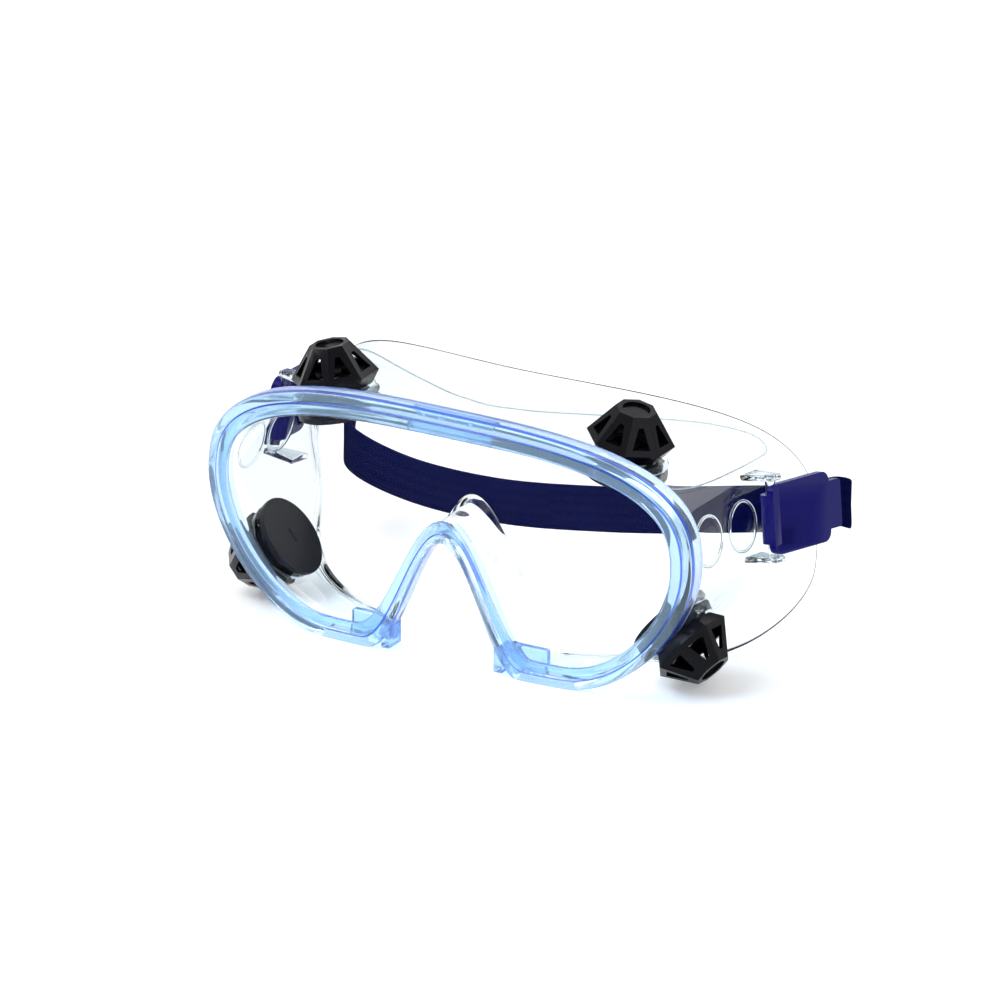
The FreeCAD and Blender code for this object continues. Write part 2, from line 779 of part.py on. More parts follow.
def clip_solid(doc, s, name):
    """Clip that snaps round the lug bar: barrel, plate and the slot for the band."""
    end = s.clip_length - s.clip_barrel
    barrel = primitive(doc, "Part::Cylinder", name + "_barrel", shift(z=-s.clip_height),
                       Radius="sizes.clip_barrel", Height="2 * sizes.clip_height")
    plate = primitive(doc, "Part::Box", name + "_plate",
                      shift(s.clip_barrel - s.clip_thickness, 0, -s.clip_height),
                      Length="sizes.clip_thickness", Width="sizes.clip_length",
                      Height="2 * sizes.clip_height")
    pieces = [join(doc, name + "_joined", [barrel, plate]), clip_outline(doc, s, name)]
    solid = doc.addObject("Part::MultiCommon", name + "_trimmed")
    solid.Shapes = pieces
    bore = primitive(doc, "Part::Cylinder", name + "_bore", shift(z=-2 * s.clip_height),
                     Radius="sizes.lug_bar + sizes.lug_bar_gap", Height="4 * sizes.clip_height")
    slot = primitive(doc, "Part::Box", name + "_slot",
                     shift(-s.clip_barrel, end - s.clip_end_bar - s.clip_slot,
                           -0.5 * s.band_width - s.band_gap),
                     Length="3 * sizes.clip_barrel", Width="sizes.clip_slot",
                     Height="sizes.band_width + 2 * sizes.band_gap")
    return cut(doc, name, solid, join(doc, name + "_openings", [bore, slot]))


def make_clips(doc, s):
    """The swinging clip of each side, at rest."""
    clip = finish(clip_solid(doc, s, "clip_made"), f"strap_clip_{LEFT}", frame_place(s, clip_place(s)))
    return [clip, mirror(doc, clip, f"strap_clip_{RIGHT}")]


def band_corners(s, centres, across):
    """The webbing's four edges as lists of points; across holds the width's direction."""
    lines = [[], [], [], []]
    for index, centre in enumerate(centres):
        ahead = centres[min(index + 1, len(centres) - 1)] - centres[max(index - 1, 0)]
        ahead.normalize()
        wide = across[index] - ahead * across[index].dot(ahead)
        wide.normalize()
        thick = ahead.cross(wide)
        for line, (i, j) in zip(lines, ((-0.5, -0.5), (0.5, -0.5), (0.5, 0.5), (-0.5, 0.5))):
            line.append(centre + wide * (i * s.band_width) + thick * (j * s.band_thickness))
    return lines


def band_solid(s, centres, across):
    """Plain flat webbing in short straight runs between the given centres."""
    lines = band_corners(s, centres, across)
    chains = [[Part.LineSegment(here, there).toShape() for here, there in zip(line, line[1:])]
              for line in lines]
    faces = []
    for chain, following in zip(chains, chains[1:] + chains[:1]):
        faces += ruled_between(chain, following)
    for end in (0, -1):
        ring = [line[end] for line in lines]
        faces.append(Part.Face(Part.makePolygon(ring + ring[:1])))
    return closed_solid(faces)


def band_end_line(s):
    """Line of the webbing's end under the clip, in the clip's own axes."""
    inner = s.clip_barrel - s.clip_thickness - s.band_gap - 0.5 * s.band_thickness
    end = s.clip_length - s.clip_barrel
    return [Vector(inner, end - s.band_lap, 0), Vector(inner, end + s.band_reach, 0)]


def flip(point):
    """The same point or direction on the wearer's right."""
    return Vector(-point.x, point.y, point.z)


def band_leg(s, place):
    """Wearer's-left end of the span, from the clip over the seal and inwards."""
    tip = place.multVec(band_end_line(s)[-1] + Vector(0, s.band_gap, 0))
    edge = s.rim_half_width + s.seal_flare
    return [tip,
            tip + place.Rotation.multVec(Vector(0, s.band_turn, 0)),
            Vector(edge - s.band_crest_inset, tip.y + s.band_crest_depth,
                   tip.z - s.band_crest_drop),
            Vector(edge - s.band_fall_inset, tip.y - s.band_fall_depth,
                   tip.z - s.band_fall_drop)]


def band_span(s):
    """Slack span behind the goggles, from the wearer's left knee to the right."""
    knee = s.rim_half_width + s.seal_flare - s.band_knee_inset
    return [Vector(share * knee, s.band_back + abs(share) ** 4 * s.band_knee_depth, height)
            for share, height in BAND_SPAN]


def make_band(doc, s):
    """The two ends held by the clips, and the elastic span between them."""
    place = clip_place(s)
    upright = Vector(0, 0, 1)
    end = doc.addObject("Part::Feature", "band_end_made")
    end.Shape = band_solid(s, band_end_line(s), [upright] * 2)
    finish(end, f"band_end_{LEFT}", frame_place(s, place))
    opposite = mirror(doc, end, f"band_end_{RIGHT}")

    leg = band_leg(s, place)
    route = Part.BSplineCurve()
    route.interpolate(leg + band_span(s) + [flip(point) for point in reversed(leg)])
    centres = route.discretize(Number=int(s.band_stations))
    lean = place.Rotation.multVec(upright)
    distances = travel(centres)
    across = []
    for distance in distances:
        near = min(distance, distances[-1] - distance) / s.band_untwist
        side = lean if distance < 0.5 * distances[-1] else flip(lean)
        across.append(side + (upright - side) * min(1.0, near))
    band = doc.addObject("Part::Feature", "band_made")
    band.Shape = band_solid(s, centres, across)
    return [end, opposite, finish(band, "headband", frame_place(s))]


# ---------------------------------------------------------------- document

def check(doc, finished):
    """Stop before anything is written if a feature or a sub-part has failed."""
    for item in doc.Objects:
        if "Invalid" in item.State or "Error" in item.State:
            raise RuntimeError(f"{item.Name} failed: {item.State}")
    for item in finished:
        if item.Shape.isNull() or not item.Shape.isValid():
            raise RuntimeError(f"{item.Label} has no valid shape")


def main():
    """Build the goggles, check them and write one STEP file for each sub-part."""
    doc = FreeCAD.newDocument("safety_goggles")
    sheet = make_sheet(doc)
    finished = make_frame_body(doc, sheet) + make_lens(doc, sheet) + make_vents(doc, sheet)
    finished += make_clips(doc, sheet) + make_band(doc, sheet)
    doc.recompute()
    check(doc, finished)
    os.makedirs("parts", exist_ok=True)
    for item in finished:
        item.Shape.exportStep(f"parts/{item.Label}.step")
        print(item.Label, round(item.Shape.Volume, 1), "mm3", len(item.Shape.Solids), "solid")


main()
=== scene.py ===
import bpy
import math
from mathutils import Matrix, Vector


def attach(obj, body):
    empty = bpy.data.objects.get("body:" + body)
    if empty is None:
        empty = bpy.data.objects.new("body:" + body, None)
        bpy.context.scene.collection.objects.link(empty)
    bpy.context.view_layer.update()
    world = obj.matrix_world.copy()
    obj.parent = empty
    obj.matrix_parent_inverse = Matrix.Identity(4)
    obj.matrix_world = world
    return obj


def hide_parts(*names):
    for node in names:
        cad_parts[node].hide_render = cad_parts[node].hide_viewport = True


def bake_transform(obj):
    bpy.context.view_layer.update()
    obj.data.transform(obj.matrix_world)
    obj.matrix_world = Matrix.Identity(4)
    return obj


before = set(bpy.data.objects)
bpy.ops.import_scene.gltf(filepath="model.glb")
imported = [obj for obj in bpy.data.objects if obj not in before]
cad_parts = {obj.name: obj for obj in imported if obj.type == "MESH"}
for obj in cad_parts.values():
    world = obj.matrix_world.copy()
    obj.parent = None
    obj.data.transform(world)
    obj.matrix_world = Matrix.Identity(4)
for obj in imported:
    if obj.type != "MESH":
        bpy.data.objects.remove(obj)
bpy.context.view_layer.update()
mm = 0.001
print("frame loaded")


# camera: long lens, a little above and from the wearer's left
cameraView = {
    "turn": 30.0, "rise": 22.0,              # degrees round and above the goggles
    "lookAt": (16.1, -37.9, 52.9),           # mm
    "lens": 800.0, "distance": 6516.0,       # mm
    "farEnd": 40.0,                          # m
}


def viewDirection(turn, rise):
    t, r = math.radians(turn), math.radians(rise)
    return Vector((math.sin(t) * math.cos(r), -math.cos(t) * math.cos(r), math.sin(r)))


def addCamera(view):
    aim = Vector(view["lookAt"]) * mm
    away = viewDirection(view["turn"], view["rise"])
    bpy.ops.object.camera_add(location=aim + away * view["distance"] * mm)
    camera = bpy.context.object
    camera.rotation_euler = away.to_track_quat("Z", "Y").to_euler()
    camera.data.lens = view["lens"]
    camera.data.clip_end = view["farEnd"]
    bpy.context.scene.camera = camera


addCamera(cameraView)
print("camera placed")


# small modelling helpers
def deselectAll():
    for item in bpy.context.selected_objects:
        item.select_set(False)


def select(*items):
    deselectAll()
    for item in items:
        item.select_set(True)
    bpy.context.view_layer.objects.active = items[0]


def named(piece, name):
    select(piece)
    bpy.ops.object.transform_apply(location=True, rotation=True, scale=True)
    piece.name = name


def settle(piece, name, body):
    named(piece, name)
    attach(piece, body)


def paint(piece, material):
    piece.data.materials.clear()
    piece.data.materials.append(material)


def applyModifiers(piece):
    select(piece)
    for modifier in list(piece.modifiers):
        bpy.ops.object.modifier_apply(modifier=modifier.name)


def outwards(piece):
    select(piece)
    bpy.ops.object.mode_set(mode="EDIT")
    bpy.ops.mesh.select_all(action="SELECT")
    bpy.ops.mesh.remove_doubles(threshold=0.00002)
    bpy.ops.mesh.normals_make_consistent(inside=False)
    bpy.ops.object.mode_set(mode="OBJECT")


def gridPiece(columns, rows, placeOf, materialIndexOf=None):
    # a grid primitive whose points are moved to placeOf(column, row), seams merged
    deselectAll()
    bpy.ops.mesh.primitive_grid_add(x_subdivisions=columns, y_subdivisions=rows, size=1)
    piece = bpy.context.object
    for index, vertex in enumerate(piece.data.vertices):
        vertex.co = placeOf(index % (columns + 1), index // (columns + 1))
    if materialIndexOf:
        for face in piece.data.polygons:
            row, column = divmod(min(face.vertices), columns + 1)
            face.material_index = materialIndexOf(column, row)
    outwards(piece)
    bpy.ops.object.shade_smooth()
    return piece


def subdivide(piece, levels):
    modifier = piece.modifiers.new("smooth", "SUBSURF")
    modifier.levels = modifier.render_levels = levels
    applyModifiers(piece)


def mirrored(point):
    return Vector((-point.x, point.y, point.z))


def smoothLine(points, count, fineness=24):
    # evenly spaced points of a smooth line through all the given ones
    fine = []
    padded = [points[0] * 2 - points[1]] + points + [points[-1] * 2 - points[-2]]
    for a, b, c, d in zip(padded, padded[1:], padded[2:], padded[3:]):
        for step in range(fineness):
            t = step / fineness
            fine.append(0.5 * (2 * b + (c - a) * t + (2 * a - 5 * b + 4 * c - d) * t * t
                               + (3 * b - a - 3 * c + d) * t ** 3))
    fine.append(points[-1])
    travelled = [0.0]
    for here, there in zip(fine, fine[1:]):
        travelled.append(travelled[-1] + (there - here).length)
    line, at = [], 0
    for number in range(count + 1):
        target = travelled[-1] * number / count
        while at < len(fine) - 2 and travelled[at + 1] < target:
            at += 1
        share = (target - travelled[at]) / max(1e-9, travelled[at + 1] - travelled[at])
        line.append(fine[at].lerp(fine[at + 1], max(0.0, min(1.0, share))))
    return line


def fillEnds(piece):
    # closes each open loop of edges with a face
    select(piece)
    bpy.ops.object.mode_set(mode="EDIT")
    bpy.ops.mesh.select_mode(type="EDGE")
    bpy.ops.mesh.select_all(action="DESELECT")
    bpy.ops.mesh.select_non_manifold()
    bpy.ops.mesh.edge_face_add()
    bpy.ops.object.mode_set(mode="OBJECT")
    outwards(piece)


def combine(piece, others, operation, keep=False):
    for other in others:
        modifier = piece.modifiers.new("combine", "BOOLEAN")
        modifier.operation = operation
        modifier.object = other
        modifier.solver = "EXACT"
    applyModifiers(piece)
    if not keep:
        for other in others:
            bpy.data.objects.remove(other)


def evenShading(piece, degrees, broad=True):
    # smooth over the eased edges while the broad faces stay flat
    select(piece)
    bpy.ops.object.shade_smooth_by_angle(angle=math.radians(degrees))
    if broad:
        piece.modifiers.new("broad", "WEIGHTED_NORMAL").keep_sharp = True
        applyModifiers(piece)
    return piece


def eased(piece, width, segments=2, angle=30, smooth=35, broad=True):
    bevel = piece.modifiers.new("ease", "BEVEL")
    bevel.width = width * mm
    bevel.segments = segments
    bevel.limit_method = "ANGLE"
    bevel.angle_limit = math.radians(angle)
    applyModifiers(piece)
    return evenShading(piece, smooth, broad)


softEdges = {"flat": 4, "sharp": 28, "smooth": 32, "segments": 2}      # the first three in degrees


def softCopy(node, width):
    # a CAD node's mesh, merged, its flat faces joined again and its edges eased
    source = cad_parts[node]
    piece = bpy.data.objects.new(node + "_soft", source.data.copy())
    bpy.context.collection.objects.link(piece)
    outwards(piece)
    bpy.ops.object.mode_set(mode="EDIT")
    bpy.ops.mesh.select_all(action="SELECT")
    bpy.ops.mesh.dissolve_limited(angle_limit=math.radians(softEdges["flat"]))
    bpy.ops.object.mode_set(mode="OBJECT")
    return eased(piece, width, softEdges["segments"], softEdges["sharp"], softEdges["smooth"])


# materials
def newMaterial(name):
    material = bpy.data.materials.new(name)
    material.use_nodes = True
    nodes = material.node_tree.nodes
    shader = nodes["Principled BSDF"]
    return material, nodes, material.node_tree.links, shader


def addNode(nodes, kind, **values):
    made = nodes.new(kind)
    for name, value in values.items():
        if name in made.inputs:
            made.inputs[name].default_value = value
        else:
            setattr(made, name, value)
    return made


def objectPoint(nodes):
    return nodes.new("ShaderNodeTexCoord").outputs["Object"]


clearLook = {
    "blend": 0.4, "faceUntil": 0.32, "edgeFrom": 0.88,
    "cloudScale": 30.0, "leastRough": 0.6, "mostRough": 1.4,
}


def clearMaterial(name, face, edge, shade, ior, roughness, clear=1.0):
    # clear plastic: face is its colour seen straight on, edge at a glancing angle
    material, nodes, links, shader = newMaterial(name)
    shader.inputs["Transmission Weight"].default_value = clear
    shader.inputs["IOR"].default_value = ior
    glance = addNode(nodes, "ShaderNodeLayerWeight", Blend=clearLook["blend"])
    ramp = nodes.new("ShaderNodeValToRGB")
    ramp.color_ramp.elements[0].position = clearLook["faceUntil"]
    ramp.color_ramp.elements[0].color = face + (1,)
    ramp.color_ramp.elements[1].position = clearLook["edgeFrom"]
    ramp.color_ramp.elements[1].color = edge + (1,)
    links.new(glance.outputs["Facing"], ramp.inputs["Fac"])
    links.new(ramp.outputs["Color"], shader.inputs["Base Color"])
    noise = addNode(nodes, "ShaderNodeTexNoise", Scale=clearLook["cloudScale"], Detail=1.0)
    links.new(objectPoint(nodes), noise.inputs["Vector"])
    span = addNode(nodes, "ShaderNodeMapRange")
    span.inputs["To Min"].default_value = roughness * clearLook["leastRough"]
    span.inputs["To Max"].default_value = roughness * clearLook["mostRough"]
    links.new(noise.outputs["Fac"], span.inputs["Value"])
    links.new(span.outputs["Result"], shader.inputs["Roughness"])
    # light passes straight through for shadows
    path = nodes.new("ShaderNodeLightPath")
    through = addNode(nodes, "ShaderNodeBsdfTransparent", Color=shade + (1,))
    mix = nodes.new("ShaderNodeMixShader")
    links.new(path.outputs["Is Shadow Ray"], mix.inputs["Fac"])
    links.new(shader.outputs["BSDF"], mix.inputs[1])
    links.new(through.outputs["BSDF"], mix.inputs[2])
    links.new(mix.outputs["Shader"], nodes["Material Output"].inputs["Surface"])
    return material


clearRim = clearMaterial("clearRimPvc", face=(0.56, 0.79, 1.0), edge=(0.02, 0.07, 0.62),
                         shade=(0.78, 0.88, 1.0), ior=1.32, roughness=0.08, clear=0.86)
clearWall = clearMaterial("clearWallPvc", face=(0.915, 0.955, 0.965), edge=(0.55, 0.72, 0.84),
                          shade=(0.93, 0.95, 0.97), ior=1.34, roughness=0.01)
# painted shade: a near-black line on the clear seal's edge near the brow, standing in for the dark
# that edge shows seen edge-on
sealEdgeShade = clearMaterial("sealEdgePaintedShade", face=(0.010, 0.013, 0.045), edge=(0.008, 0.01, 0.04),
                         shade=(0.75, 0.8, 0.85), ior=1.34, roughness=0.05, clear=0.12)
# painted shade: deep-blue lines on the rim for the darker blue that refraction shows along its
# edges; the rim's pale blue is its own
rimShadeLine = clearMaterial("rimPaintedShadeLine", face=(0.035, 0.12, 0.74), edge=(0.01, 0.03, 0.40),
                        shade=(0.7, 0.8, 0.95), ior=1.42, roughness=0.05, clear=0.6)
clearPad = clearMaterial("clearPadPvc", face=(0.93, 0.965, 0.975), edge=(0.75, 0.86, 0.92),
                         shade=(0.95, 0.97, 0.98), ior=1.12, roughness=0.02)
# painted shade: the greyer tint of the shoulder's crease line
shoulderShade = clearMaterial("shoulderPaintedShadePvc", face=(0.55, 0.64, 0.66), edge=(0.25, 0.34, 0.4),
                          shade=(0.9, 0.92, 0.95), ior=1.34, roughness=0.03)
clearLens = clearMaterial("clearPolycarbonate", face=(0.99, 0.995, 1.0), edge=(0.9, 0.95, 1.0),
                          shade=(0.97, 0.98, 0.99), ior=1.10, roughness=0.0)


plasticGrain = {"scale": 900.0, "strength": 0.15, "distance": 0.0002, "dark": 0.8, "pale": 1.25}


def grain(nodes, links, shader):
    # fine moulded texture as bump
    noise = addNode(nodes, "ShaderNodeTexNoise", Scale=plasticGrain["scale"], Detail=3.0)
    links.new(objectPoint(nodes), noise.inputs["Vector"])
    bump = addNode(nodes, "ShaderNodeBump", Strength=plasticGrain["strength"],
                   Distance=plasticGrain["distance"])
    links.new(noise.outputs["Fac"], bump.inputs["Height"])
    links.new(bump.outputs["Normal"], shader.inputs["Normal"])
    return noise


def mouldedPlastic(name, colour, roughness, gloss):
    material, nodes, links, shader = newMaterial(name)
    noise = grain(nodes, links, shader)
    ramp = nodes.new("ShaderNodeValToRGB")
    for element, shade in zip(ramp.color_ramp.elements, ("dark", "pale")):
        element.color = tuple(part * plasticGrain[shade] for part in colour) + (1,)
    links.new(noise.outputs["Fac"], ramp.inputs["Fac"])
    links.new(ramp.outputs["Color"], shader.inputs["Base Color"])
    shader.inputs["Roughness"].default_value = roughness
    shader.inputs["Specular IOR Level"].default_value = gloss
    return material


ventBlack = mouldedPlastic("blackVentPlastic", (0.0018, 0.0020, 0.004), 0.20, 0.13)
innerBlack = mouldedPlastic("blackInnerPlastic", (0.004, 0.005, 0.009), 0.30, 0.12)
clipNavy = mouldedPlastic("navyClipPlastic", (0.0028, 0.0024, 0.125), 0.30, 0.14)


weaveLook = {
    "ribs": 26, "picks": 150, "pickShare": 0.6, "swing": 1.4, "strength": 0.07, "distance": 0.0002,
    "dark": (0.0010, 0.0020, 0.028, 1), "pale": (0.0018, 0.0034, 0.046, 1),
    "roughness": 0.95, "gloss": 0.02,
}


def webbing(name):
    material, nodes, links, shader = newMaterial(name)
    uv = nodes.new("ShaderNodeUVMap")
    parts = nodes.new("ShaderNodeSeparateXYZ")
    links.new(uv.outputs["UV"], parts.inputs["Vector"])

    def wave(output, repeats):
        times = addNode(nodes, "ShaderNodeMath", operation="MULTIPLY")
        times.inputs[1].default_value = repeats * 2 * math.pi
        links.new(parts.outputs[output], times.inputs[0])
        sine = addNode(nodes, "ShaderNodeMath", operation="SINE")
        links.new(times.outputs[0], sine.inputs[0])
        return sine

    ribs, picks = wave("Y", weaveLook["ribs"]), wave("X", weaveLook["picks"])
    weave = addNode(nodes, "ShaderNodeMath", operation="MULTIPLY")
    links.new(ribs.outputs[0], weave.inputs[0])
    links.new(picks.outputs[0], weave.inputs[1])
    ridges = addNode(nodes, "ShaderNodeMath", operation="MULTIPLY_ADD")
    ridges.inputs[1].default_value = weaveLook["pickShare"]
    links.new(weave.outputs[0], ridges.inputs[0])
    links.new(ribs.outputs[0], ridges.inputs[2])
    bump = addNode(nodes, "ShaderNodeBump", Strength=weaveLook["strength"],
                   Distance=weaveLook["distance"])
    links.new(ridges.outputs[0], bump.inputs["Height"])
    links.new(bump.outputs["Normal"], shader.inputs["Normal"])
    ramp = nodes.new("ShaderNodeValToRGB")
    ramp.color_ramp.elements[0].color = weaveLook["dark"]
    ramp.color_ramp.elements[1].color = weaveLook["pale"]
    span = addNode(nodes, "ShaderNodeMapRange")
    span.inputs["From Min"].default_value = -weaveLook["swing"]
    span.inputs["From Max"].default_value = weaveLook["swing"]
    links.new(ridges.outputs[0], span.inputs["Value"])
    links.new(span.outputs["Result"], ramp.inputs["Fac"])
    links.new(ramp.outputs["Color"], shader.inputs["Base Color"])
    shader.inputs["Roughness"].default_value = weaveLook["roughness"]
    shader.inputs["Specular IOR Level"].default_value = weaveLook["gloss"]
    return material


navyWebbing = webbing("navyElasticWebbing")
print("materials made")


# outlines of the rim and the face seal, shared by the frame and the lens
rim = {
    "half": 82.3, "eye": 43.0, "top": 79.0, "bottom": -0.4,
    "browPower": 2.85, "cheekPower": 1.68, "lobe": 42.0,
    "noseTop": 38.0, "noseHalf": 25.5, "frontRadius": 800.0,
}
seal = {
    "half": 84.4, "eye": 37.0, "top": 78.0, "bottom": -0.4,
    "browPower": 2.35, "cheekPower": 4.0, "lobe": 46.0,
    "noseTop": 46.0, "noseHalf": 31.0,
    "depth": 46.0, "faceRadius": 92.0, "templeDepth": 78.0, "templePower": 14.0,
    "cheekRelief": 28.0, "cheekLevel": 20.0,
}
originDepth = 45.3
noseSpread = 0.66
browAngles = (90, 76, 62, 53, 44, 37, 31, 26, 22, 18, 14, 10.5, 7, 3.5)
cheekAngles = (0, -7, -14, -21, -28, -35, -42, -49, -56, -64, -72, -81, -90)
flatSteps = (0.33, 0.67)
noseSteps = (1.0, 0.92, 0.84, 0.76, 0.68, 0.59, 0.5, 0.41, 0.32, 0.23, 0.15, 0.07, 0.0)


def powerRadius(angle, across, up, power):
    cosine = abs(math.cos(angle)) / across
    sine = abs(math.sin(angle)) / up
    return (cosine ** power + sine ** power) ** (-1.0 / power)


def inset(outline, side, top=None, bottom=None, nose=None):
    top = side if top is None else top
    bottom = side if bottom is None else bottom
    nose = side if nose is None else nose
    moved = dict(outline)
    moved["half"] -= side
    moved["top"] -= top
    moved["bottom"] += bottom
    moved["noseTop"] += nose
    moved["noseHalf"] += noseSpread * nose
    return moved


def browPoint(outline, degrees):
    angle = math.radians(degrees)
    radius = powerRadius(angle, outline["half"], outline["top"] - outline["eye"],
                         outline["browPower"])
    return radius * math.cos(angle), outline["eye"] + radius * math.sin(angle)


def halfOutline(outline):
    # (x, z, level that sets the depth) from the brow round to the nose arch
    eye, bottom, lobe = outline["eye"], outline["bottom"], outline["lobe"]
    points = []
    for degrees in browAngles:
        x, z = browPoint(outline, degrees)
        points.append((x, z, z))
    for degrees in cheekAngles:
        angle = math.radians(degrees)
        radius = powerRadius(angle, outline["half"] - lobe, eye - bottom, outline["cheekPower"])
        z = eye + radius * math.sin(angle)
        points.append((lobe + radius * math.cos(angle), z, z))
    for step in flatSteps:
        points.append((lobe + (outline["noseHalf"] - lobe) * step, bottom, bottom))
    for step in noseSteps:
        rise = 0.5 * (1.0 + math.cos(math.pi * step))
        z = bottom + (outline["noseTop"] - bottom) * rise
        points.append((outline["noseHalf"] * step, z, bottom))
    return points


def wholeLoop(half):
    return half + [(-x, z, level) for x, z, level in reversed(half[1:-1])]


def frontCurve(x):
    return rim["frontRadius"] - math.sqrt(rim["frontRadius"] ** 2 - x * x)


def faceDepth(x, z):
    head = seal["depth"] + x * x / (2.0 * seal["faceRadius"])
    power = seal["templePower"]
    depth = (head ** -power + seal["templeDepth"] ** -power) ** (-1.0 / power)
    low = max(0.0, (seal["cheekLevel"] - z) / seal["cheekLevel"])
    return depth - seal["cheekRelief"] * min(1.0, low) ** 2


def atFront(x, y, z):
    return Vector((x, y - originDepth, z)) * mm


print("outlines ready")


# frame moulding
wallInset = {"side": 4.3, "top": 8.2, "bottom": 2.4, "nose": 4.3}
# one line for each loop round the goggles: what it follows, how far inside it,
# its depth behind the front, then its shares of the way out and back to the seal
mouldingLoops = [
    ("rim", 7.0, 0.6, 0.0, 0.0),
    ("rim", 6.5, 0.0, 0.0, 0.0),
    ("rim", 4.4, -0.15, 0.0, 0.0),
    ("rim", 3.3, 0.1, 0.0, 0.0),
    ("rim", 3.0, 0.7, 0.0, 0.0),
    ("rim", 2.7, 0.1, 0.0, 0.0),
    ("rim", 1.6, 0.0, 0.0, 0.0),
    ("rim", 0.4, 0.5, 0.0, 0.0),
    ("rim", 0.15, 1.0, 0.0, 0.0),
    ("rim", 0.0, 1.8, 0.0, 0.0),
    ("rim", 0.0, 7.2, 0.0, 0.0),
    ("rim", 0.5, 8.3, 0.0, 0.0),
    ("wall", -0.7, 8.5, 0.0, 0.0),
    ("wall", 0.0, 9.4, 0.0, 0.0),
    ("wall", 0.0, 8.4, 0.10, 0.30),
    ("wall", 0.0, 8.4, 0.22, 0.66),
    ("wall", 0.0, 8.4, 0.27, 0.73),
    ("wall", 0.0, 8.4, 0.42, 0.78),
    ("wall", 0.0, 8.4, 0.93, 0.972),
    ("wall", 0.0, 8.4, 0.975, 0.990),
    ("wall", 0.0, 8.4, 1.0, 1.0),
    ("wall", 0.65, 8.4, 1.0, 1.006),
    ("wall", 1.3, 8.4, 1.0, 0.998),
    ("wall", 1.3, 8.4, 0.975, 0.986),
    ("wall", 1.6, 8.4, 0.46, 0.83),
    ("wall", 1.6, 8.4, 0.26, 0.75),
    ("wall", 1.6, 8.4, 0.20, 0.66),
    ("wall", 1.6, 8.4, 0.08, 0.25),
    ("wall", 1.6, 6.0, 0.0, 0.0),
    ("wall", 1.2, 5.2, 0.0, 0.0),
    ("rim", 3.5, 5.2, 0.0, 0.0),
    ("rim", 3.2, 4.9, 0.0, 0.0),
    ("rim", 3.2, 2.9, 0.0, 0.0),
    ("rim", 3.5, 2.6, 0.0, 0.0),
    ("rim", 6.6, 2.6, 0.0, 0.0),
    ("rim", 7.0, 2.2, 0.0, 0.0),
]


def loopPoints(kind, inward, depth, out, back):
    if kind == "rim":
        near = inset(rim, inward)
    else:
        near = inset(rim, wallInset["side"] + inward, wallInset["top"] + inward,
                     wallInset["bottom"] + inward, wallInset["nose"] + inward)
    far = inset(seal, max(0.0, inward))
    points = []
    for first, last in zip(wholeLoop(halfOutline(near)), wholeLoop(halfOutline(far))):
        x, z = (a + (b - a) * out for a, b in zip(first[:2], last[:2]))
        start = frontCurve(first[0]) + depth
        y = start + (faceDepth(last[0], last[2]) - start) * back
        points.append(atFront(x, y, z))
    return points


rimShadeLoops = (("rim", 3.3), ("rim", 0.15))      # loops where a painted deep-blue shade line starts, for the darker blue that refraction shows at the thick rim's edges
# where the seal's edge gets painted shade, a near-black line for the dark a clear edge shows seen
# edge-on: columns each way from the middle of the brow, and how far in, in mm
sealShadeReach = {"reach": 24, "inward": 0.5}
loopCount = len(wholeLoop(halfOutline(rim)))


def mouldingMaterialAndShade(column, row):
    # 0 the thick rim, 1 the thin walls, 2 painted shade as a dark line on the seal's edge, 3
    # painted deep-blue shade lines on the rim
    kind, inward, _, out, _ = mouldingLoops[row % len(mouldingLoops)]
    if (kind, inward) in rimShadeLoops:
        return 3
    if kind == "rim":
        return 0
    nearBrow = min(column, loopCount - column) < sealShadeReach["reach"]
    return 2 if out == 1.0 and inward < sealShadeReach["inward"] and nearBrow else 1


def makeMoulding():
    loops = [loopPoints(*line) for line in mouldingLoops]
    count = len(loops[0])
    piece = gridPiece(count, len(loops),
                      lambda column, row: loops[row % len(loops)][column % count], mouldingMaterialAndShade)
    for surfaceMaterial in (clearRim, clearWall, sealEdgeShade, rimShadeLine):
        piece.data.materials.append(surfaceMaterial)
    subdivide(piece, 2)
    for vertex in piece.data.vertices:
        vertex.co.z = max(vertex.co.z, 0.0)      # stands flat on the table
    return piece


# places of what is fixed to the moulding, in mm
def turnAbout(axis, degrees):
    return Matrix.Rotation(math.radians(degrees), 4, axis)


def placeAt(x, y, z, turn):
    return Matrix.Translation(atFront(x, y, z)) @ turn


ventSeats = {
    "upper": placeAt(49.4, 25.0, 69.3, turnAbout("Y", 11.0)),
    "lower": placeAt(69.4, 22.5, 15.6, turnAbout("Y", 128.0) @ turnAbout("X", 5.0)),
}
lugPlace = placeAt(84.0, 49.5, 46.0, turnAbout("Y", -9.0) @ turnAbout("X", -9.0))
otherSide = Matrix.Scale(-1, 4, (1, 0, 0))


def bothSides(piece):
    # the same piece mirrored on the wearer's right
    twin = piece.copy()
    twin.data = piece.data.copy()
    bpy.context.collection.objects.link(twin)
    twin.data.transform(otherSide)
    twin.data.flip_normals()
    return [piece, twin]


def placed(piece, place):
    # the object's own place, then this one, go into its mesh
    piece.data.transform(place @ piece.matrix_world)
    piece.matrix_world = Matrix.Identity(4)
    return piece


def disc(radius, height, z, sides=48, top=None):
    # an upright disc or cone that starts at z
    deselectAll()
    bpy.ops.mesh.primitive_cone_add(vertices=sides, radius1=radius * mm,
                                    radius2=(radius if top is None else top) * mm,
                                    depth=height * mm, location=(0, 0, (z + 0.5 * height) * mm))
    piece = bpy.context.object
    placed(piece, Matrix.Identity(4))
    return piece


def block(low, high):
    deselectAll()
    size = Vector(high) - Vector(low)
    bpy.ops.mesh.primitive_cube_add(size=mm, location=(Vector(low) + Vector(high)) * 0.5 * mm)
    piece = bpy.context.object
    piece.scale = size
    bpy.ops.object.transform_apply(location=False, rotation=False, scale=True)
    placed(piece, Matrix.Identity(4))
    return piece


moulding = makeMoulding()
print("moulding made:", len(moulding.data.polygons), "faces")

